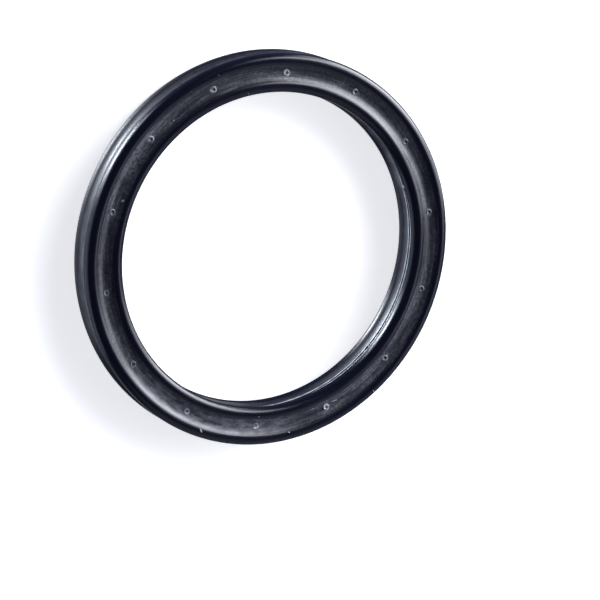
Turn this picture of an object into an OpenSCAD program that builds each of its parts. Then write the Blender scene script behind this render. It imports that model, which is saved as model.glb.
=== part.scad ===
// Four-lobed sealing ring, an x-ring, moulded in rubber as one piece.
// The ring lies flat on one face. Z is its axis, and its origin is the middle of the ring.
// X is on one of the round mould marks of the top face.

/* [Ring] */
// Inside diameter, over the crowns of the two inner lobes
inside_d = 43.82; // [20:0.01:120]
// Width and height of the section, from crown to crown
section_w = 5.33; // [5:0.01:7]

/* [Section] */
// Radius of each of the four lobes
lobe_r = 0.96; // [0.8:0.01:1.1]
// Depth of the valley between two lobes, below their crowns
valley_depth = 0.6; // [0.4:0.01:0.8]

/* [Parting line] */
// Width of the raised line where the two mould halves met
parting_w = 0.3; // [0.2:0.01:0.6]
// Height of that line's crown above its two feet
parting_h = 0.045; // [0.02:0.005:0.08]

/* [Mould marks] */
// Number of round marks along the valley of the top face
mark_count = 14; // [1:1:30]
// Outside diameter of a mark
mark_d = 0.82; // [0.6:0.01:1.2]
// Width of the raised lip round a mark
lip_w = 0.15; // [0.1:0.01:0.2]
// Height of the lip above the bottom of the valley
lip_h = 0.1; // [0.06:0.01:0.15]
// Depth of the hollow inside the lip, below the bottom of the valley
dip_h = 0.05; // [0.02:0.01:0.2]

/* [Hidden] */

// Facets round the ring, round a circle of the section and round a mark
ring_fn = 180;
section_fn = 120;
mark_fn = 32;

// How far a lip reaches into the ring, so that the two are one solid
lip_root = 0.3;

// Radius of the circle on which the middle of the section lies
mean_r = (inside_d + section_w) / 2;

// Distance of a lobe's centre from the middle of the section, along each axis of the section
lobe_at = section_w / 2 - lobe_r;

// Distance of a valley's bottom from the middle of the section
valley_at = section_w / 2 - valley_depth;

// Radius of the round flank that makes a valley and runs smoothly into the lobe on each side
flank_r = (lobe_at^2 + (lobe_r - valley_depth)^2 - lobe_r^2) / (2 * valley_depth);

// Distance of a flank's centre from the middle of the section
flank_at = valley_at + flank_r;

// Where the upper flank touches the lobe at its right, on the line between their centres
touch_x = lobe_at * flank_r / (flank_r + lobe_r);
touch_y = lobe_at + (flank_at - lobe_at) * lobe_r / (flank_r + lobe_r);

// How much farther out the valley is at the parting line's feet than at its bottom
foot_rise = flank_r - sqrt(flank_r^2 - parting_w^2 / 4);

// Radius and centre of the round parting line, which meets the valley at its two feet
bead_r = (parting_w^2 / 4 + parting_h^2) / (2 * parting_h);
bead_at = valley_at + foot_rise + parting_h - bead_r;

// The two ends of a valley, turned to each of the four sides, are the corners of the section's core
function turned(p, angle) = [p.x * cos(angle) - p.y * sin(angle), p.x * sin(angle) + p.y * cos(angle)];
core_points = [for (side = [0:3]) each [
    turned([touch_x, touch_y], 90 * side),
    turned([-touch_x, touch_y], 90 * side)
]];

// Core between the lobes, with a round valley cut in each of its four sides
module core() {
    difference() {
        polygon(core_points);
        for (side = [0:3])
            rotate(90 * side)
                translate([0, flank_at])
                    circle(flank_r);
    }
}

// Round lobe at each corner of the section
module lobes() {
    for (x = [-lobe_at, lobe_at], y = [-lobe_at, lobe_at])
        translate([x, y])
            circle(lobe_r);
}

// Raised line in the bore's valley and in the valley round the outside
module parting_lines() {
    for (side = [0, 180])
        rotate(side)
            intersection() {
                translate([bead_at, 0])
                    circle(bead_r);
                translate([0, -lobe_at])
                    square([section_w / 2, 2 * lobe_at]);
            }
}

// Cross-section of the ring about its own middle
module section() {
    core();
    lobes();
    parting_lines();
}

// Places its children at each mark, on the bottom of the top valley
module at_marks() {
    for (k = [0:mark_count - 1])
        rotate(360 * k / mark_count)
            translate([mean_r, 0, valley_at])
                children();
}

// The whole ring: the turned section, with a lip and a shallow hollow at each mark
module x_ring() {
    color([0.09, 0.10, 0.13])
    difference() {
        union() {
            rotate_extrude($fn = ring_fn)
                translate([mean_r, 0])
                    section($fn = section_fn);
            at_marks()
                translate([0, 0, -lip_root])
                    cylinder(d = mark_d, h = lip_root + lip_h, $fn = mark_fn);
        }
        at_marks()
            translate([0, 0, -dip_h])
                cylinder(d = mark_d - 2 * lip_w, h = dip_h + valley_depth, $fn = mark_fn);
    }
}

x_ring();
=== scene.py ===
"""Dresses the x-ring: a moulded rubber sealing ring that lies on a light table under soft lamps.

Lengths are metres unless a name or a docstring says otherwise. Z is the ring's axis and the origin is the
ring's centre. A place on the section is given as (out, up): how far it lies outwards from the middle of the
section, and how far above it.
"""
import logging
import math
import random
from dataclasses import dataclass, field
from enum import Enum
from typing import Iterator

import bpy
from mathutils import Matrix, Vector


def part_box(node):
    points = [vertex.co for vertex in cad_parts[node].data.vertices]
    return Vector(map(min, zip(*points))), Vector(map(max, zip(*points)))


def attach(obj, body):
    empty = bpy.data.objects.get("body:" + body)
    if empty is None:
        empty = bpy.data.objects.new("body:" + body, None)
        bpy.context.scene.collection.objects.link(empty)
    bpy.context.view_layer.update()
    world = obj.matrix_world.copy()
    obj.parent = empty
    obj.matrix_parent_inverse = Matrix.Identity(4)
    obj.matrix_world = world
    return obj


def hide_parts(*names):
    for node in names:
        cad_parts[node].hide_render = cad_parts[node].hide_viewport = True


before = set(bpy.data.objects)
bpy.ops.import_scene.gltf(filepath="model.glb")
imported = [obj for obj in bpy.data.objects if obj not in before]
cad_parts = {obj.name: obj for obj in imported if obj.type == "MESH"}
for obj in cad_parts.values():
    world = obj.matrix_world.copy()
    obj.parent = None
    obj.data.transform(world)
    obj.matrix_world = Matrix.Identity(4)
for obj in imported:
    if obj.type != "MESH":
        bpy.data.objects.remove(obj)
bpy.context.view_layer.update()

MM = 0.001
FULL_TURN = 2 * math.pi
DEGREE = FULL_TURN / 360
NODE = "x_ring"
BODY = "root"

Socket = bpy.types.NodeSocket
Input = Socket | float | tuple
Outputs = dict[str, Socket]
Colour = tuple[float, float, float, float]
Point = tuple[float, float, float]
Fade = tuple[float, float]

log = logging.getLogger("x_ring")


class Side(Enum):
    """The four sides of the section, each with its outward direction in quarter turns from the outside."""

    OUTSIDE = 0
    TOP = 1
    BORE = 2
    UNDER = 3

    @property
    def has_parting_line(self) -> bool:
        """True on the two sides where the mould halves met."""
        return self in (Side.OUTSIDE, Side.BORE)

    @property
    def mask(self) -> str:
        """The name of this side's mask among the ring's places."""
        return self.name.title()

    def turned(self, along: float, outward: float) -> tuple[float, float]:
        """Turns a place given for this side into the section's own axes.

        Args:
            along: Distance along the side, anticlockwise round the section.
            outward: Distance from the middle of the section, straight out of this side.

        Returns:
            The place as (out, up).
        """
        angle = self.value * FULL_TURN / 4
        return (
            outward * math.cos(angle) - along * math.sin(angle),
            outward * math.sin(angle) + along * math.cos(angle),
        )


@dataclass(frozen=True)
class MouldMark:
    """One round mark in the top valley: a raised lip, lower on one side, round a shallow hollow."""

    turn: float
    weak_side: float
    weakness: float
    height: float
    lip_radius: float = 0.32 * MM
    lip_width: float = 0.10 * MM
    hollow_depth: float = 0.05 * MM
    hollow_steepness: float = 2.0

    def relief(self, along: float, across: float) -> float:
        """Gives the height of the mark over the plain valley.

        Args:
            along: Distance from the mark's middle, along the ring.
            across: Distance from the mark's middle, outwards.

        Returns:
            The height, below zero in the hollow.
        """
        distance = math.hypot(along, across)
        swing = 0.5 + 0.5 * math.cos(math.atan2(across, along) - self.weak_side)
        lip = math.exp(-(((distance - self.lip_radius) / self.lip_width) ** 2))
        hollow = max(0.0, 1 - (distance / (self.lip_radius - self.lip_width / 2)) ** 2)
        sunk = self.hollow_depth * min(1.0, self.hollow_steepness * hollow)
        return self.height * lip * (1 - self.weakness * swing**2) - sunk


@dataclass
class Section:
    """The X-shaped section: four round lobes that run smoothly into four hollow flanks."""

    height: float
    lobe_radius: float = 0.96 * MM
    valley_depth: float = 0.6 * MM
    parting_width: float = 0.3 * MM
    parting_height: float = 0.045 * MM
    lobe_steps: int = 16
    plain_steps: int = 10
    bead_steps: int = 16
    bead_side_steps: int = 6
    mark_reach: float = 0.46 * MM
    mark_steps: int = 22
    mark_side_steps: int = 7

    def __post_init__(self) -> None:
        """Works out the circles of the lobes, the flanks and the parting line."""
        self.lobe_at = self.height / 2 - self.lobe_radius
        valley_at = self.height / 2 - self.valley_depth
        rise = self.lobe_radius - self.valley_depth
        self.flank_radius = (self.lobe_at**2 + rise**2 - self.lobe_radius**2) / (2 * self.valley_depth)
        self.flank_at = valley_at + self.flank_radius
        self.flank_half_angle = math.atan2(self.lobe_at, self.flank_at - self.lobe_at)
        foot = self.parting_width / 2
        foot_at = self.flank_at - math.sqrt(self.flank_radius**2 - foot**2)
        self.bead_radius = (foot**2 + self.parting_height**2) / (2 * self.parting_height)
        self.bead_at = foot_at + self.parting_height - self.bead_radius

    def parting_line(self, along: float, outward: float) -> float:
        """Gives how far out a side is once its parting line is raised.

        Args:
            along: Distance along the side from its middle.
            outward: How far out the plain valley is there.

        Returns:
            The distance out, with the round line between its two feet.
        """
        if abs(along) > self.parting_width / 2:
            return outward
        return self.bead_at + math.sqrt(self.bead_radius**2 - along**2)

    def spacing(self, side: Side) -> tuple[float, int, int]:
        """Says how closely the points of a flank lie.

        Args:
            side: The side of the section that the flank is in.

        Returns:
            Half the angle of the fine middle, its number of steps, and the steps at each side of it.
        """
        if side is Side.UNDER:
            return self.flank_half_angle, self.plain_steps, 0
        if side.has_parting_line:
            half_angle = 0.5 * self.parting_width / self.flank_radius
            return half_angle, self.bead_steps, self.bead_side_steps
        return self.mark_reach / self.flank_radius, self.mark_steps, self.mark_side_steps

    def flank_angles(self, side: Side) -> list[float]:
        """Spaces a flank's points closely where the side has a parting line or marks.

        Args:
            side: The side of the section.

        Returns:
            Angles about the flank's own centre, from one end up to just before the other.
        """
        close, fine, coarse = self.spacing(side)
        wide = self.flank_half_angle
        before = [-wide + (wide - close) * k / coarse for k in range(coarse)]
        middle = [-close + 2 * close * k / fine for k in range(fine)]
        after = [close + (wide - close) * k / coarse for k in range(coarse)]
        return before + middle + after

    def flank_points(self, side: Side) -> Iterator[tuple[float, float]]:
        """Yields the points of one valley, with its parting line where it has one.

        Args:
            side: The side that the valley is in.
        """
        for angle in self.flank_angles(side):
            along = self.flank_radius * math.sin(angle)
            outward = self.flank_at - self.flank_radius * math.cos(angle)
            if side.has_parting_line:
                outward = self.parting_line(along, outward)
            yield side.turned(along, outward)

    def lobe_points(self, side: Side) -> Iterator[tuple[float, float]]:
        """Yields the points of the lobe between one side and the next.

        Args:
            side: The side that the lobe follows.
        """
        sweep = FULL_TURN / 4 + 2 * self.flank_half_angle
        for k in range(self.lobe_steps):
            angle = -self.flank_half_angle + sweep * k / self.lobe_steps
            outward = self.lobe_at + self.lobe_radius * math.cos(angle)
            along = self.lobe_at + self.lobe_radius * math.sin(angle)
            yield side.turned(along, outward)

    def outline(self) -> list[tuple[float, float]]:
        """Gives the whole outline.

        Returns:
            Its points, anticlockwise from the lower end of the outside valley.
        """
        points: list[tuple[float, float]] = []
        for side in Side:
            points.extend(self.flank_points(side))
            points.extend(self.lobe_points(side))
        return points


@dataclass
class Ring:
    """The whole ring: the section turned about Z, with the marks raised in its top valley."""

    mean_radius: float
    section: Section
    mark_count: int = 14
    mark_height: float = 0.1 * MM
    weakness_range: tuple[float, float] = (0.3, 0.8)
    height_range: tuple[float, float] = (0.85, 1.0)
    column_reach: float = 0.46 * MM
    close_columns: int = 23
    wide_columns: int = 18
    seed: int = 14
    marks: list[MouldMark] = field(default_factory=list)

    def __post_init__(self) -> None:
        """Gives each mark its own slight unevenness."""
        chance = random.Random(self.seed)
        for k in range(self.mark_count):
            self.marks.append(
                MouldMark(
                    turn=FULL_TURN * k / self.mark_count,
                    weak_side=chance.uniform(0, FULL_TURN),
                    weakness=chance.uniform(*self.weakness_range),
                    height=self.mark_height * chance.uniform(*self.height_range),
                )
            )

    def column_turns(self) -> Iterator[tuple[float, MouldMark]]:
        """Yields each column's turn, close together at a mark, and the mark that it is nearest to."""
        reach = self.column_reach / self.mean_radius
        gap = FULL_TURN / self.mark_count - 2 * reach
        for mark in self.marks:
            for k in range(self.close_columns):
                yield mark.turn - reach + 2 * reach * k / self.close_columns, mark
            for k in range(self.wide_columns):
                yield mark.turn + reach + gap * k / self.wide_columns, mark

    def lifted(self, turn: float, mark: MouldMark, out: float, up: float) -> float:
        """Gives the height of a point once its mark is raised.

        Args:
            turn: The point's angle about Z.
            mark: The nearest mark.
            out: The point's distance outwards from the middle of the section.
            up: Its height above that middle on the plain section.

        Returns:
            The height with the mark's relief.
        """
        along = (turn - mark.turn) * self.mean_radius
        if up < 0 or max(abs(along), abs(out)) > self.column_reach:
            return up
        return up + mark.relief(along, out)

    def points(self, outline: list[tuple[float, float]]) -> list[Point]:
        """Turns the outline about Z.

        Args:
            outline: The section's points as (out, up).

        Returns:
            The ring's points, one column after another.
        """
        turned: list[Point] = []
        for turn, mark in self.column_turns():
            for out, up in outline:
                radius = self.mean_radius + out
                height = self.lifted(turn, mark, out, up)
                turned.append((radius * math.cos(turn), radius * math.sin(turn), height))
        return turned

    def build(self) -> bpy.types.Object:
        """Makes the ring's mesh.

        Returns:
            The ring as one closed, smooth mesh object.
        """
        outline = self.section.outline()
        points = self.points(outline)
        rows = len(outline)
        columns = len(points) // rows
        faces = []
        for column in range(columns):
            here = column * rows
            there = (column + 1) % columns * rows
            for row in range(rows):
                after = (row + 1) % rows
                faces.append((here + row, there + row, there + after, here + after))
        mesh = bpy.data.meshes.new("moulded_ring")
        mesh.from_pydata(points, [], faces)
        mesh.update()
        mesh.shade_smooth()
        ring = bpy.data.objects.new("moulded_ring", mesh)
        bpy.context.scene.collection.objects.link(ring)
        return ring

    def dress(self, ring: bpy.types.Object, finish: "MouldedRubber") -> None:
        """Gives the ring its rubber and ties it to the frame.

        Args:
            ring: The ring's mesh object.
            finish: The rubber.
        """
        ring.data.materials.append(finish.material())
        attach(ring, BODY)
        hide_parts(NODE)


class Graph:
    """A shader node tree that is written one node at a time."""

    def __init__(self, tree: bpy.types.NodeTree) -> None:
        """Starts on an empty tree."""
        self.tree = tree
        self.tree.nodes.clear()

    def node(self, kind: str, **settings: object) -> bpy.types.Node:
        """Adds a node.

        Args:
            kind: The node's type name.
            settings: Properties of the node to set.

        Returns:
            The new node.
        """
        made = self.tree.nodes.new(kind)
        for name, value in settings.items():
            setattr(made, name, value)
        return made

    def feed(self, socket: Socket, value: Input) -> None:
        """Links an input to another node's output, or sets it to a plain value.

        Args:
            socket: The input.
            value: The output or the value.
        """
        if isinstance(value, Socket):
            self.tree.links.new(value, socket)
        else:
            socket.default_value = value

    def math(self, operation: str, *values: Input, clamp: bool = False) -> Socket:
        """Adds a Math node.

        Args:
            operation: The name of the operation.
            values: One input for each socket, a number or an output.
            clamp: Whether the result is kept between 0 and 1.

        Returns:
            The result.
        """
        made = self.node("ShaderNodeMath", operation=operation, use_clamp=clamp)
        for socket, value in zip(made.inputs, values):
            self.feed(socket, value)
        return made.outputs[0]

    def product(self, first: Input, *others: Input) -> Input:
        """Multiplies numbers.

        Args:
            first: The first number.
            others: The numbers that it is multiplied by, one after another.

        Returns:
            The product.
        """
        result = first
        for other in others:
            result = self.math("MULTIPLY", result, other)
        return result

    def ramp(self, value: Input, fade: Fade) -> Socket:
        """Turns a number into a mask with soft ends.

        Args:
            value: The number.
            fade: The number at which the mask is 0, and the number at which it is 1.

        Returns:
            The mask.
        """
        empty, full = fade
        made = self.node("ShaderNodeMapRange", interpolation_type="SMOOTHSTEP")
        self.feed(made.inputs["Value"], value)
        made.inputs["From Min"].default_value = min(fade)
        made.inputs["From Max"].default_value = max(fade)
        made.inputs["To Min"].default_value = 0.0 if empty < full else 1.0
        made.inputs["To Max"].default_value = 1.0 if empty < full else 0.0
        return made.outputs["Result"]

    def blend(self, factor: Input, first: Input, second: Input) -> Socket:
        """Blends two numbers.

        Args:
            factor: The share of the second one.
            first: The number at 0.
            second: The number at 1.

        Returns:
            The blended number.
        """
        made = self.node("ShaderNodeMix", data_type="FLOAT")
        self.feed(made.inputs["Factor"], factor)
        self.feed(made.inputs["A"], first)
        self.feed(made.inputs["B"], second)
        return made.outputs["Result"]

    def blend_colour(self, factor: Input, first: Input, second: Input) -> Socket:
        """Blends two colours.

        Args:
            factor: The share of the second one.
            first: The colour at 0.
            second: The colour at 1.

        Returns:
            The blended colour.
        """
        made = self.node("ShaderNodeMix", data_type="RGBA")
        colours = [socket for socket in made.inputs if socket.type == "RGBA"]
        self.feed(made.inputs["Factor"], factor)
        self.feed(colours[0], first)
        self.feed(colours[1], second)
        return next(socket for socket in made.outputs if socket.type == "RGBA")

    def noise(self, vector: Input, scale: float, detail: float, depth: Input | None = None) -> Socket:
        """Adds a noise.

        Args:
            vector: Where it is read.
            scale: Its scale.
            detail: How many finer layers it has.
            depth: A fourth coordinate, where it has one.

        Returns:
            The noise, about 0 to 1.
        """
        made = self.node("ShaderNodeTexNoise", noise_dimensions="3D" if depth is None else "4D")
        self.feed(made.inputs["Vector"], vector)
        if depth is not None:
            self.feed(made.inputs["W"], depth)
        made.inputs["Scale"].default_value = scale
        made.inputs["Detail"].default_value = detail
        return made.outputs["Fac"]

    def vector(self, operation: str, *values: Input) -> Socket:
        """Adds a Vector Math node.

        Args:
            operation: The name of the operation.
            values: One vector for each input.

        Returns:
            The result, a number where the operation gives one.
        """
        made = self.node("ShaderNodeVectorMath", operation=operation)
        for socket, value in zip(made.inputs, values):
            self.feed(socket, value)
        return made.outputs["Value" if operation in ("DOT_PRODUCT", "LENGTH") else "Vector"]

    def scaled(self, vector: Input, scale: Input) -> Socket:
        """Makes a vector longer or shorter.

        Args:
            vector: The vector.
            scale: What it is multiplied by.

        Returns:
            The scaled vector.
        """
        made = self.node("ShaderNodeVectorMath", operation="SCALE")
        self.feed(made.inputs[0], vector)
        self.feed(made.inputs["Scale"], scale)
        return made.outputs[0]

    def split(self, vector: Input) -> tuple[Socket, ...]:
        """Splits a vector.

        Args:
            vector: The vector.

        Returns:
            Its three numbers.
        """
        made = self.node("ShaderNodeSeparateXYZ")
        self.feed(made.inputs[0], vector)
        return tuple(made.outputs)

    def join(self, x: Input, y: Input, z: Input) -> Socket:
        """Joins three numbers into a vector.

        Args:
            x: The first number.
            y: The second number.
            z: The third number.

        Returns:
            The vector.
        """
        made = self.node("ShaderNodeCombineXYZ")
        for socket, value in zip(made.inputs, (x, y, z)):
            self.feed(socket, value)
        return made.outputs["Vector"]


class Kind(Enum):
    """What an input or output of a node group carries."""

    NUMBER = "NodeSocketFloat"
    VECTOR = "NodeSocketVector"


class NodeGroup:
    """A shader node group with named inputs and outputs, built once and placed in any material."""

    def __init__(self, name: str, inputs: dict[str, Kind], outputs: tuple[str, ...]) -> None:
        """Makes the group and its sockets.

        Args:
            name: The group's name.
            inputs: What each input carries, by its name.
            outputs: The names of the outputs, which carry numbers.
        """
        self.tree = bpy.data.node_groups.new(name, "ShaderNodeTree")
        self.graph = Graph(self.tree)
        for label, kind in inputs.items():
            self.tree.interface.new_socket(name=label, in_out="INPUT", socket_type=kind.value)
        for label in outputs:
            self.tree.interface.new_socket(name=label, in_out="OUTPUT", socket_type=Kind.NUMBER.value)
        self.given = self.graph.node("NodeGroupInput").outputs
        self.results = self.graph.node("NodeGroupOutput").inputs

    def give(self, **values: Input) -> None:
        """Feeds the group's outputs, each by its name."""
        for name, value in values.items():
            self.graph.feed(self.results[name], value)

    def place(self, graph: Graph, **values: Input) -> Outputs:
        """Places the group in a material.

        Args:
            graph: The material's graph.
            values: A value or output for each input, by its name.

        Returns:
            The placed group's outputs, by their names.
        """
        made = graph.node("ShaderNodeGroup", node_tree=self.tree)
        for name, value in values.items():
            graph.feed(made.inputs[name], value)
        return {socket.name: socket for socket in made.outputs}


@dataclass
class RingPlaces:
    """Says where a point lies on the ring, in millimetres and masks.

    A fade gives where its mask is 0 and where it is 1. The valley's fade is in shares of the lobes' distance
    from the middle of the section, and those of the torn edges, with their painted highlight glints, and the
    seam are in shares of half the parting line's width. The others are in millimetres.
    """

    mean_radius: float
    section: Section
    mark_count: int
    valley_fade: Fade = (0.8, 0.5)
    side_fade: Fade = (0.0, 0.6)
    laid_fade: Fade = (-0.9, -1.5)
    bottom_fade: Fade = (1.6, 1.8)
    lip_outer_fade: Fade = (0.50, 0.41)
    lip_inner_fade: Fade = (0.10, 0.26)
    hollow_share: float = 0.3
    wobble: float = 0.5
    wobble_scale: float = 1.5
    wobble_detail: float = 2.0
    torn_near_fade: Fade = (1.2, 1.5)
    torn_far_fade: Fade = (2.7, 2.2)
    seam_fade: Fade = (1.3, 1.1)
    group: NodeGroup = field(init=False)

    def __post_init__(self) -> None:
        """Builds the group."""
        sides = (Side.TOP.mask, Side.OUTSIDE.mask, Side.BORE.mask)
        outputs = ("Out", "Up", "Turn", "East", "North", "Valley", *sides, "Mark", "Torn", "Seam", "Laid")
        self.group = NodeGroup("Ring places", {"Place": Kind.VECTOR}, outputs)
        g = self.group.graph
        x, y, z = (g.product(part, 1 / MM) for part in g.split(self.group.given["Place"]))
        radius = g.math("SQRT", g.math("ADD", g.product(x, x), g.product(y, y)))
        out = g.math("SUBTRACT", radius, self.mean_radius / MM)
        turn = g.math("ARCTAN2", y, x)
        top = self.facing(z, out)
        bore = self.facing(g.product(out, -1.0), z)
        aside = g.math("MINIMUM", g.math("ABSOLUTE", out), g.math("ABSOLUTE", z))
        bottom = g.ramp(g.math("ABSOLUTE", out), self.bottom_fade)
        torn, seam = self.parting_line(g.math("ABSOLUTE", z))
        self.group.give(
            Out=out,
            Up=z,
            Turn=turn,
            East=g.math("DIVIDE", x, radius),
            North=g.math("DIVIDE", y, radius),
            Valley=g.ramp(aside, self.shares(self.valley_fade, self.section.lobe_at / MM)),
            Top=top,
            Outside=self.facing(out, z),
            Bore=bore,
            Mark=g.product(self.mark(g.join(x, y, z), turn, out), top),
            # The torn edges of the parting line, in the bore only: the mask where pale highlight glints are
            # painted.
            Torn=g.product(torn, bottom, bore),
            Seam=g.product(seam, bottom),
            Laid=g.product(g.ramp(z, self.laid_fade), g.ramp(out, self.side_fade)),
        )

    @staticmethod
    def shares(fade: Fade, whole: float) -> Fade:
        """Turns a fade in shares of a length into millimetres."""
        return fade[0] * whole, fade[1] * whole

    def facing(self, toward: Input, aside: Input) -> Socket:
        """Masks the side of the section that a direction points out of.

        Args:
            toward: Distance in that direction from the middle of the section.
            aside: Distance across it.

        Returns:
            The side's mask.
        """
        g = self.group.graph
        return g.ramp(g.math("SUBTRACT", toward, g.math("ABSOLUTE", aside)), self.side_fade)

    def mark(self, place: Input, turn: Input, out: Input) -> Input:
        """Masks the lips of the mould marks, with uneven edges and a trace in the hollows.

        Args:
            place: The place in millimetres.
            turn: Its angle about Z.
            out: How far outwards it lies from the middle of the section.

        Returns:
            The mask of the marks, on every side of the section.
        """
        g = self.group.graph
        step = FULL_TURN / self.mark_count
        shifted = g.math("MODULO", g.math("ADD", turn, FULL_TURN + step / 2), step)
        along = g.product(g.math("SUBTRACT", shifted, step / 2), self.mean_radius / MM)
        away = g.math("SQRT", g.math("ADD", g.product(along, along), g.product(out, out)))
        uneven = g.noise(place, self.wobble_scale, self.wobble_detail)
        away = g.math("ADD", away, g.product(g.math("SUBTRACT", uneven, 0.5), self.wobble))
        inner = g.blend(g.ramp(away, self.lip_inner_fade), self.hollow_share, 1.0)
        return g.product(g.ramp(away, self.lip_outer_fade), inner)

    def parting_line(self, level: Input) -> tuple[Input, Input]:
        """Masks the parting line.

        Args:
            level: Distance above or below the middle of the ring's height.

        Returns:
            The mask of its two torn edges, which carry painted highlight glints, and that of the seam between
            them.
        """
        g = self.group.graph
        foot = 0.5 * self.section.parting_width / MM
        near = g.ramp(level, self.shares(self.torn_near_fade, foot))
        far = g.ramp(level, self.shares(self.torn_far_fade, foot))
        return g.product(near, far), g.ramp(level, self.shares(self.seam_fade, foot))


@dataclass(frozen=True)
class Streak:
    """How streaks run: how fast they change round the ring, and how fine they are across it."""

    change: float
    fineness: float


@dataclass
class DrawnStreaks:
    """Fine streaks that run round the ring, from the mould's turned surface and from wiping."""

    contrast: Fade = (0.36, 0.68)
    detail: float = 3.0
    group: NodeGroup = field(init=False)

    def __post_init__(self) -> None:
        """Builds the group."""
        inputs = ("East", "North", "Out", "Up", "Change", "Fineness")
        self.group = NodeGroup("Drawn streaks", dict.fromkeys(inputs, Kind.NUMBER), ("Streaks",))
        g, given = self.group.graph, self.group.given
        east = g.product(given["East"], given["Change"])
        north = g.product(given["North"], given["Change"])
        across = g.product(given["Out"], given["Fineness"])
        depth = g.product(given["Up"], given["Fineness"])
        read = g.noise(g.join(east, north, across), 1.0, self.detail, depth)
        self.group.give(Streaks=g.ramp(read, self.contrast))

    def over(self, g: Graph, where: Outputs, streak: Streak) -> Socket:
        """Places the streaks in a material.

        Args:
            g: The material's graph.
            where: The ring's places.
            streak: How the streaks run.

        Returns:
            The streaks, from 0 to 1.
        """
        places = {name: where[name] for name in ("East", "North", "Out", "Up")}
        return self.group.place(g, **places, Change=streak.change, Fineness=streak.fineness)["Streaks"]


@dataclass
class SettledDust:
    """Sparse pale specks of dust, each somewhere in its own cell."""

    empty_share: float = 0.72
    group: NodeGroup = field(init=False)

    def __post_init__(self) -> None:
        """Builds the group."""
        inputs = {"Place": Kind.VECTOR, "Spacing": Kind.NUMBER, "Size": Kind.NUMBER}
        self.group = NodeGroup("Settled dust", inputs, ("Dust",))
        g, given = self.group.graph, self.group.given
        cells = g.node("ShaderNodeTexVoronoi")
        g.feed(cells.inputs["Vector"], given["Place"])
        g.feed(cells.inputs["Scale"], g.math("DIVIDE", 1 / MM, given["Spacing"]))
        pick = g.node("ShaderNodeSeparateColor")
        g.feed(pick.inputs[0], cells.outputs["Color"])
        size = g.product(g.math("DIVIDE", given["Size"], given["Spacing"]), pick.outputs[0])
        speck = g.math("LESS_THAN", cells.outputs["Distance"], size)
        kept = g.math("GREATER_THAN", pick.outputs[1], self.empty_share)
        self.group.give(Dust=g.product(speck, kept))


@dataclass(frozen=True)
class Stretch:
    """A stretch of the ring, with lines in it.

    Its middle is in degrees about Z, its half length and its soft ends are in millimetres, and the lines are
    counted per millimetre along and across the ring.
    """

    centre: float
    reach: float
    fade: float
    along: float
    across: float
    evenness: float = 0.0


@dataclass(frozen=True)
class Patch(Stretch):
    """A pale patch in the valley of one side and its strength: rubbed wear, pale haze and painted sheen."""

    strength: float = 0.3
    side: Side = Side.TOP


@dataclass
class WearAndSheenPatch:
    """A patch on one stretch of the ring, in fine lines across it, for wear, painted sheen and painted
    glints.
    """

    mean_radius: float
    contrast: Fade = (0.36, 0.66)
    detail: float = 2.0
    group: NodeGroup = field(init=False)

    def __post_init__(self) -> None:
        """Builds the group."""
        inputs = ("Turn", "Aside", "Centre", "Reach", "Fade", "Along", "Across", "Evenness")
        self.group = NodeGroup("Wear and sheen patch", dict.fromkeys(inputs, Kind.NUMBER), ("Wear",))
        g, given = self.group.graph, self.group.given
        away = g.math("SUBTRACT", given["Turn"], g.product(given["Centre"], DEGREE))
        shifted = g.math("MODULO", g.math("ADD", away, 1.5 * FULL_TURN), FULL_TURN)
        along = g.product(g.math("SUBTRACT", shifted, FULL_TURN / 2), self.mean_radius / MM)
        past = g.math("SUBTRACT", g.math("ABSOLUTE", along), given["Reach"])
        edge = g.math("SUBTRACT", 1.0, g.math("DIVIDE", past, given["Fade"]), clamp=True)
        across = g.product(given["Aside"], given["Across"])
        lines = g.noise(g.join(g.product(along, given["Along"]), across, 0.0), 1.0, self.detail)
        marked = g.blend(given["Evenness"], g.ramp(lines, self.contrast), 1.0)
        self.group.give(Wear=g.product(edge, marked))

    def over(self, g: Graph, turn: Input, aside: Input, stretch: Stretch) -> Socket:
        """Places the wear and painted sheen of one stretch in a material.

        Args:
            g: The material's graph.
            turn: The place's angle about Z.
            aside: Where the place lies across the ring.
            stretch: The stretch that the mask covers.

        Returns:
            The wear, from 0 to 1.
        """
        placed = self.group.place(
            g,
            Turn=turn,
            Aside=aside,
            Centre=stretch.centre,
            Reach=stretch.reach,
            Fade=stretch.fade,
            Along=stretch.along,
            Across=stretch.across,
            Evenness=stretch.evenness,
        )
        return placed["Wear"]


@dataclass(frozen=True)
class Nick:
    """A short pale nick or fleck: where it starts and ends, and its width, in millimetres."""

    start: Point
    end: Point
    width: float


@dataclass
class PaleScratch:
    """A short pale scratch between two places on the ring."""

    edge_fade: Fade = (0.55, 0.35)
    group: NodeGroup = field(init=False)

    def __post_init__(self) -> None:
        """Builds the group."""
        inputs = dict.fromkeys(("Place", "Start", "End"), Kind.VECTOR) | {"Width": Kind.NUMBER}
        self.group = NodeGroup("Pale scratch", inputs, ("Scratch",))
        g, given = self.group.graph, self.group.given
        reach = g.vector("SUBTRACT", given["End"], given["Start"])
        away = g.vector("SUBTRACT", given["Place"], given["Start"])
        reached = g.vector("DOT_PRODUCT", away, reach)
        share = g.math("DIVIDE", reached, g.vector("DOT_PRODUCT", reach, reach), clamp=True)
        miss = g.vector("LENGTH", g.vector("SUBTRACT", away, g.scaled(reach, share)))
        self.group.give(Scratch=g.ramp(g.math("DIVIDE", miss, given["Width"]), self.edge_fade))

    def over(self, g: Graph, place: Input, nick: Nick) -> Socket:
        """Places a nick in a material.

        Args:
            g: The material's graph.
            place: The place in millimetres.
            nick: The nick.

        Returns:
            The nick's mask.
        """
        placed = self.group.place(g, Place=place, Start=nick.start, End=nick.end, Width=nick.width)
        return placed["Scratch"]


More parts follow.
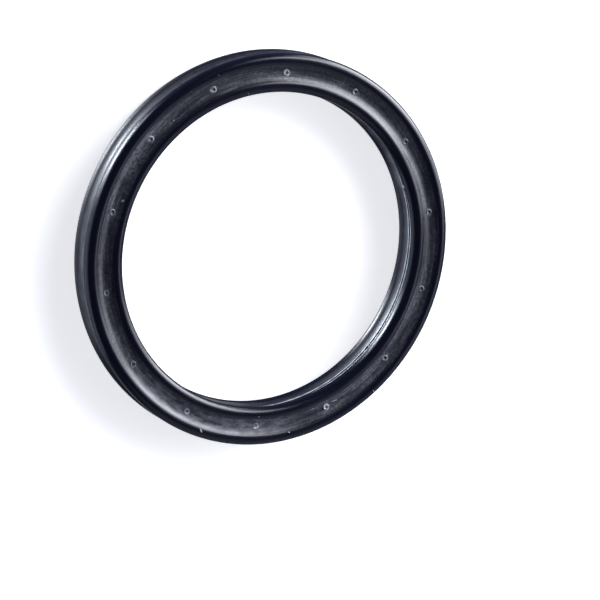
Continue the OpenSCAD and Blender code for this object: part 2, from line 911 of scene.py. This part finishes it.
@dataclass(frozen=True)
class Mottle:
    """An uneven cover: its clouds per millimetre, how they fade in, and its share where it is thinnest."""

    scale: float
    detail: float
    contrast: Fade
    least: float

    def over(self, g: Graph, place: Input) -> Socket:
        """Gives the cover's share at a place, from the thinnest one up to 1."""
        cloud = g.ramp(g.noise(place, self.scale / MM, self.detail), self.contrast)
        return g.blend(cloud, self.least, 1.0)


@dataclass(frozen=True)
class MouldedRubber:
    """Black moulded rubber: dull and bloomed in the valleys, glossier on the lobes, rubbed and dusty.

    It has painted sheen in the bore's valley, and painted highlight glints on the parting line's torn edges.
    """

    places: RingPlaces
    streaks: DrawnStreaks
    dust: SettledDust
    wear_and_sheen: WearAndSheenPatch
    scratch: PaleScratch
    black: Colour = (0.0022, 0.0026, 0.0085, 1.0)
    bloom: Colour = (0.186, 0.189, 0.206, 1.0)
    # The pale of rubbed wear, and also of painted sheen in the bore's valley, where the table lamps' glow
    # spreads.
    rubbed_and_sheen: Colour = (0.42, 0.44, 0.475, 1.0)
    # Pale torn edges of the parting line, painted bright as highlight glints along the bore's lit stretch.
    torn_pale: Colour = (0.60, 0.63, 0.69, 1.0)
    lint: Colour = (0.42, 0.43, 0.45, 1.0)
    lobe_roughness: float = 0.22
    top_valley_roughness: float = 0.31
    side_valley_roughness: float = 0.38
    laid_roughness: float = 0.42
    seam_roughness: float = 1.0
    grain_roughness: float = 0.12
    streak_roughness: float = 0.06
    outer_seam_share: float = 0.35
    refraction: float = 1.44
    fine: Streak = Streak(change=7.0, fineness=5.0)
    broad: Streak = Streak(change=3.0, fineness=1.2)
    fine_least: float = 0.35
    broad_least: float = 0.3
    cloud: Mottle = Mottle(scale=0.28, detail=3.0, contrast=(0.36, 0.66), least=0.6)
    cells: Mottle = Mottle(scale=2.4, detail=3.0, contrast=(0.36, 0.68), least=0.45)
    broken: Mottle = Mottle(scale=1.4, detail=2.0, contrast=(0.38, 0.54), least=0.22)
    side_bloom: float = 0.4
    grain_scale: float = 6.0
    grain_detail: float = 2.0
    streak_relief: float = 0.5
    relief_depth: float = 0.006 * MM
    dust_spacing: float = 1.3
    dust_size: float = 0.09
    handled_at: float = 33.0
    handled_times: float = 2.0
    handled_fade: Fade = (-0.2, 0.9)
    handled_least: float = 0.32
    # The stretch of the bore where the torn edges are painted pale, as glints of the lamps under the table.
    torn: Stretch = Stretch(centre=87, reach=20.0, fade=7.0, along=0.9, across=0.0, evenness=0.45)
    wear_and_sheen_patches: tuple[Patch, ...] = (
        Patch(centre=97, reach=2.2, fade=1.6, along=2.2, across=2.0, strength=0.10),
        Patch(centre=266, reach=1.5, fade=1.4, along=2.6, across=1.8, strength=0.18),
        Patch(centre=8, reach=9.0, fade=7.0, along=0.5, across=1.6, strength=0.24),
        # A pale haze on the outside's valley.
        Patch(
            centre=299, reach=6.0, fade=12.0, along=0.25, across=2.2,
            evenness=0.3, strength=0.22, side=Side.OUTSIDE,
        ),
        # Painted sheen: a pale veil in the bore's valley that stands in for the soft spread of the table
        # lamps' highlight.
        Patch(
            centre=95, reach=14.0, fade=8.0, along=0.3, across=0.8,
            evenness=0.7, strength=0.12, side=Side.BORE,
        ),
        # A pale haze in the bore's valley.
        Patch(
            centre=160, reach=7.0, fade=6.0, along=0.3, across=0.8,
            evenness=0.5, strength=0.50, side=Side.BORE,
        ),
    )
    nicks: tuple[Nick, ...] = (
        Nick(start=(25.86, 2.90, 2.66), end=(26.12, 3.22, 2.62), width=0.2),
        Nick(start=(-16.84, 15.01, 0.02), end=(-16.76, 14.93, -0.36), width=0.44),
        Nick(start=(3.43, -23.40, 2.30), end=(3.50, -23.49, 2.29), width=0.32),
        Nick(start=(14.27, 19.64, 2.09), end=(13.74, 20.20, 2.07), width=0.10),
        Nick(start=(16.61, 17.17, 2.20), end=(16.24, 17.57, 2.18), width=0.08),
    )

    def bloomed(self, g: Graph, place: Input, where: Outputs, fine: Input, broad: Input) -> Input:
        """Gives how much pale bloom lies at a place: mottled in the top valley, thin in the others.

        Args:
            g: The material's graph.
            place: The place on the ring.
            where: The ring's places.
            fine: The fine streaks.
            broad: The broad streaks.

        Returns:
            The bloom's share of the colour.
        """
        return g.product(
            g.blend(broad, self.broad_least, 1.0),
            self.cloud.over(g, place),
            self.cells.over(g, place),
            g.blend(fine, self.fine_least, 1.0),
            where["Valley"],
            g.blend(where["Top"], self.side_bloom, 1.0),
        )

    def worn_and_sheen(self, g: Graph, place: Input, where: Outputs) -> Input:
        """Gives how far the rubber is made pale: rubbed on the lips of the marks, and in the patches of wear,
        haze and painted sheen.

        Args:
            g: The material's graph.
            place: The place on the ring.
            where: The ring's places.

        Returns:
            The share of the pale colour, for wear, haze and painted sheen.
        """
        handled = g.math("SUBTRACT", where["Turn"], math.radians(self.handled_at))
        swing = g.math("COSINE", g.product(handled, self.handled_times))
        strength = g.blend(g.ramp(swing, self.handled_fade), self.handled_least, 1.0)
        pale = g.product(where["Mark"], strength, self.broken.over(g, place))
        for patch in self.wear_and_sheen_patches:
            rubbed_and_sheen = self.wear_and_sheen.over(g, where["Turn"], where["Out"], patch)
            here = g.product(where["Valley"], where[patch.side.mask])
            pale = g.math("MAXIMUM", pale, g.product(rubbed_and_sheen, here, patch.strength))
        return pale

    def torn_edges(self, g: Graph, where: Outputs) -> Input:
        """Gives where the torn edges of the parting line show pale, in ragged lengths, as painted highlight
        glints.
        """
        return g.product(where["Torn"], self.wear_and_sheen.over(g, where["Turn"], where["Up"], self.torn))

    def flecks(self, g: Graph, place: Input) -> Input:
        """Gives where dust and nicks show pale.

        Args:
            g: The material's graph.
            place: The place on the ring.

        Returns:
            The mask of the dust and the nicks.
        """
        pale = self.dust.group.place(g, Place=place, Spacing=self.dust_spacing, Size=self.dust_size)["Dust"]
        in_mm = g.scaled(place, 1 / MM)
        for nick in self.nicks:
            pale = g.math("MAXIMUM", pale, self.scratch.over(g, in_mm, nick))
        return pale

    def roughness(self, g: Graph, where: Outputs, fine: Input, grain: Input) -> Socket:
        """Gives the roughness: glossy lobes, duller valleys, a matt seam, and a fine unevenness.

        Args:
            g: The material's graph.
            where: The ring's places.
            fine: The fine streaks.
            grain: The grain of the surface.

        Returns:
            The roughness.
        """
        in_top = g.product(where["Valley"], where["Top"])
        in_sides = g.product(where["Valley"], g.math("MAXIMUM", where["Bore"], where["Outside"]))
        seam = g.product(where["Seam"], g.blend(where["Outside"], 1.0, self.outer_seam_share))
        grained = g.product(g.math("SUBTRACT", grain, 0.5), self.grain_roughness)
        streaked = g.product(g.math("SUBTRACT", fine, 0.5), self.streak_roughness)
        rough = g.blend(in_top, self.lobe_roughness, self.top_valley_roughness)
        rough = g.blend(in_sides, rough, self.side_valley_roughness)
        rough = g.math("ADD", g.math("ADD", rough, grained), streaked, clamp=True)
        rough = g.blend(where["Laid"], rough, self.laid_roughness)
        return g.blend(seam, rough, self.seam_roughness)

    def material(self) -> bpy.types.Material:
        """Builds the material.

        Returns:
            The finished material.
        """
        made = bpy.data.materials.new("moulded_rubber")
        made.use_nodes = True
        g = Graph(made.node_tree)
        place = g.node("ShaderNodeTexCoord").outputs["Object"]
        where = self.places.group.place(g, Place=place)
        fine = self.streaks.over(g, where, self.fine)
        broad = self.streaks.over(g, where, self.broad)
        grain = g.noise(place, self.grain_scale / MM, self.grain_detail)
        colour = g.blend_colour(self.bloomed(g, place, where, fine, broad), self.black, self.bloom)
        # Rubbed wear on the marks and patches, with painted sheen in the bore's valley.
        colour = g.blend_colour(self.worn_and_sheen(g, place, where), colour, self.rubbed_and_sheen)
        colour = g.blend_colour(where["Seam"], colour, self.black)
        # The torn edges of the parting line, painted pale as highlight glints.
        colour = g.blend_colour(self.torn_edges(g, where), colour, self.torn_pale)
        colour = g.blend_colour(self.flecks(g, place), colour, self.lint)
        bump = g.node("ShaderNodeBump")
        bump.inputs["Strength"].default_value = 1.0
        bump.inputs["Distance"].default_value = self.relief_depth
        g.feed(bump.inputs["Height"], g.math("ADD", g.product(fine, self.streak_relief), grain))
        shader = g.node("ShaderNodeBsdfPrincipled")
        shader.inputs["IOR"].default_value = self.refraction
        g.feed(shader.inputs["Base Color"], colour)
        g.feed(shader.inputs["Roughness"], self.roughness(g, where, fine, grain))
        g.feed(shader.inputs["Normal"], bump.outputs["Normal"])
        g.feed(g.node("ShaderNodeOutputMaterial").inputs["Surface"], shader.outputs["BSDF"])
        return made


@dataclass(frozen=True)
class LightTable:
    """The pale table that the ring lies on. It is lit from below too, so it hides no lamp from the ring."""

    height: float
    reach: float = 2.0
    colour: Colour = (0.8, 0.8, 0.8, 1.0)
    glow: float = 0.72

    def build(self) -> bpy.types.Object:
        """Makes the table's top.

        Returns:
            The top.
        """
        signs = ((-1, -1), (1, -1), (1, 1), (-1, 1))
        corners = [(x * self.reach, y * self.reach, self.height) for x, y in signs]
        mesh = bpy.data.meshes.new("light_table")
        mesh.from_pydata(corners, [], [(0, 1, 2, 3)])
        mesh.materials.append(self.material())
        top = bpy.data.objects.new("light_table", mesh)
        bpy.context.scene.collection.objects.link(top)
        top.visible_glossy = False
        top.visible_shadow = False
        return top

    def material(self) -> bpy.types.Material:
        """Makes the table white to the camera, with the shadow that lies on it.

        Returns:
            The finished material.
        """
        made = bpy.data.materials.new("pale_table")
        made.use_nodes = True
        g = Graph(made.node_tree)
        matt = g.node("ShaderNodeBsdfDiffuse")
        matt.inputs["Color"].default_value = self.colour
        glow = g.node("ShaderNodeEmission")
        seen = g.node("ShaderNodeLightPath").outputs["Is Camera Ray"]
        g.feed(glow.inputs["Strength"], g.product(seen, self.glow))
        both = g.node("ShaderNodeAddShader")
        g.feed(both.inputs[0], matt.outputs[0])
        g.feed(both.inputs[1], glow.outputs[0])
        g.feed(g.node("ShaderNodeOutputMaterial").inputs["Surface"], both.outputs[0])
        return made


@dataclass(frozen=True)
class Softbox:
    """A flat, even lamp that faces the ring.

    Its turn is its angle about Z from +X, and its rise is its angle above the ring. Its spread is how far it
    reaches to each side and up and down, as seen from the ring. All of them are in degrees.
    """

    name: str
    turn: float
    rise: float
    spread: tuple[float, float]
    radiance: float
    colour: tuple[float, float, float]
    distance: float = 0.8

    def build(self) -> bpy.types.Object:
        """Hangs the lamp.

        Returns:
            The lamp.
        """
        width, height = (2 * self.distance * math.tan(math.radians(angle)) for angle in self.spread)
        lamp = bpy.data.lights.new(self.name, "AREA")
        lamp.shape = "RECTANGLE"
        lamp.size, lamp.size_y = width, height
        lamp.energy = self.radiance * math.pi * width * height
        lamp.color = self.colour
        hung = bpy.data.objects.new(self.name, lamp)
        turn, rise = math.radians(self.turn), math.radians(self.rise)
        away = Vector((math.cos(rise) * math.cos(turn), math.cos(rise) * math.sin(turn), math.sin(rise)))
        hung.location = away * self.distance
        hung.rotation_mode = "QUATERNION"
        hung.rotation_quaternion = away.to_track_quat("Z", "Y")
        hung.visible_camera = False
        bpy.context.scene.collection.objects.link(hung)
        return hung


@dataclass(frozen=True)
class Lamps:
    """The soft lamps: a window at one side, the light that comes up through the table, and a faint fill."""

    boxes: tuple[Softbox, ...] = (
        Softbox("window_core", turn=147, rise=9, spread=(17, 13), radiance=12.5, colour=(0.92, 0.94, 1.0)),
        Softbox("window_upper", turn=148, rise=31, spread=(19, 9), radiance=6.0, colour=(0.92, 0.94, 1.0)),
        Softbox("window_side", turn=169, rise=42, spread=(9, 8), radiance=4.5, colour=(0.92, 0.94, 1.0)),
        Softbox("window_edge", turn=145, rise=15, spread=(31, 32), radiance=4.0, colour=(0.88, 0.91, 1.0)),
        Softbox("window_high", turn=108, rise=42, spread=(15, 12), radiance=1.2, colour=(0.92, 0.94, 1.0)),
        Softbox("table_core", turn=261, rise=-33, spread=(7, 8), radiance=56.0, colour=(0.87, 0.92, 1.0)),
        Softbox("table_low", turn=261, rise=-56, spread=(10, 15), radiance=10.5, colour=(0.86, 0.92, 1.0)),
        Softbox("table_halo", turn=261, rise=-20, spread=(19, 18), radiance=6.4, colour=(0.78, 0.87, 1.0)),
        Softbox("table_band", turn=290, rise=-60, spread=(26, 10), radiance=0.65, colour=(0.80, 0.90, 1.0)),
        Softbox("table_glow", turn=312, rise=-20, spread=(36, 26), radiance=0.90, colour=(0.78, 0.88, 1.0)),
        Softbox("table_far", turn=46, rise=-55, spread=(14, 7), radiance=0.50, colour=(0.92, 0.95, 1.0)),
        Softbox("room_fill", turn=58, rise=18, spread=(42, 32), radiance=0.40, colour=(0.8, 0.9, 1.0)),
    )

    def build(self) -> None:
        """Hangs every lamp and reports it."""
        for box in self.boxes:
            hung = box.build()
            log.info("%s: radiance %.2f", hung.name, box.radiance)


@dataclass(frozen=True)
class Room:
    """The room round the table: white to the camera, dim above the table and pale below it.

    A fade gives how high a direction points, as the sine of its angle, where the next colour down starts and
    where it is full.
    """

    above: Colour = (0.060, 0.066, 0.13, 1.0)
    below: Colour = (0.105, 0.120, 0.175, 1.0)
    beneath: Colour = (0.12, 0.13, 0.17, 1.0)
    seen: Colour = (1.0, 1.0, 1.0, 1.0)
    below_fade: Fade = (0.2, -0.2)
    beneath_fade: Fade = (-0.8, -0.97)

    def build(self) -> bpy.types.World:
        """Sets the world.

        Returns:
            The world.
        """
        world = bpy.data.worlds.new("room")
        bpy.context.scene.world = world
        world.use_nodes = True
        g = Graph(world.node_tree)
        _, _, high = g.split(g.node("ShaderNodeTexCoord").outputs["Generated"])
        side = g.blend_colour(g.ramp(high, self.below_fade), self.above, self.below)
        lit = g.node("ShaderNodeBackground")
        g.feed(lit.inputs["Color"], g.blend_colour(g.ramp(high, self.beneath_fade), side, self.beneath))
        plain = g.node("ShaderNodeBackground")
        plain.inputs["Color"].default_value = self.seen
        pick = g.node("ShaderNodeMixShader")
        g.feed(pick.inputs[0], g.node("ShaderNodeLightPath").outputs["Is Camera Ray"])
        g.feed(pick.inputs[1], lit.outputs[0])
        g.feed(pick.inputs[2], plain.outputs[0])
        g.feed(g.node("ShaderNodeOutputWorld").inputs["Surface"], pick.outputs[0])
        return world


@dataclass(frozen=True)
class StudioCamera:
    """The camera, at the photograph's angle.

    Azimuth 0 looks along +Y, and the camera is turned about its own axis. The ring's centre is given as its
    place in the picture, from the upper left corner.
    """

    azimuth: float = math.radians(1.72)
    elevation: float = math.radians(60.34)
    roll: float = math.radians(-116.26)
    distance: float = 442.35 * MM
    lens_mm: float = 194.3
    sensor_mm: float = 36.0
    picture_px: float = 600.0
    ring_centre_px: tuple[float, float] = (264.2, 248.4)
    near: float = 1 * MM
    far: float = 10.0

    def axes(self) -> tuple[Vector, Vector, Vector]:
        """Gives the camera's own axes.

        Returns:
            Its right, its up, and the direction from the ring back to it.
        """
        flat = math.cos(self.elevation)
        east, north = math.sin(self.azimuth) * flat, -math.cos(self.azimuth) * flat
        back = Vector((east, north, math.sin(self.elevation)))
        level_right = Vector((math.cos(self.azimuth), math.sin(self.azimuth), 0.0))
        level_up = back.cross(level_right)
        right = level_right * math.cos(self.roll) - level_up * math.sin(self.roll)
        up = level_right * math.sin(self.roll) + level_up * math.cos(self.roll)
        return right, up, back

    def build(self) -> bpy.types.Object:
        """Makes the camera and sets it as the scene's own.

        Returns:
            The camera.
        """
        right, up, back = self.axes()
        per_pixel = self.distance * self.sensor_mm / self.lens_mm / self.picture_px
        middle = self.picture_px / 2
        aim = right * (middle - self.ring_centre_px[0]) * per_pixel
        aim -= up * (middle - self.ring_centre_px[1]) * per_pixel
        data = bpy.data.cameras.new("camera")
        data.lens = self.lens_mm
        data.sensor_width = self.sensor_mm
        data.clip_start = self.near
        data.clip_end = self.far
        camera = bpy.data.objects.new("camera", data)
        place = Matrix((right, up, back)).transposed().to_4x4()
        place.translation = aim + back * self.distance
        camera.matrix_world = place
        bpy.context.scene.collection.objects.link(camera)
        bpy.context.scene.camera = camera
        return camera


def main() -> None:
    """Builds the ring, the table, the lamps, the room and the camera, and reports each of them."""
    logging.basicConfig(level=logging.INFO, format="%(message)s")
    low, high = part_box(NODE)
    section = Section(height=high.z - low.z)
    mean_radius = (high.x - low.x - section.height) / 2
    ring = Ring(mean_radius=mean_radius, section=section)
    made = ring.build()
    places = RingPlaces(mean_radius, section, ring.mark_count)
    rubber = MouldedRubber(places, DrawnStreaks(), SettledDust(), WearAndSheenPatch(mean_radius), PaleScratch())
    ring.dress(made, rubber)
    log.info("%s: %d faces", made.name, len(made.data.polygons))
    table = LightTable(height=low.z).build()
    log.info("%s: at a height of %.2f mm", table.name, low.z / MM)
    Lamps().build()
    room = Room().build()
    log.info("%s: white to the camera", room.name)
    camera = StudioCamera().build()
    log.info("%s: lens of %.1f mm", camera.name, camera.data.lens)
    bpy.context.scene.view_settings.view_transform = "Standard"


if __name__ == "__main__":
    main()
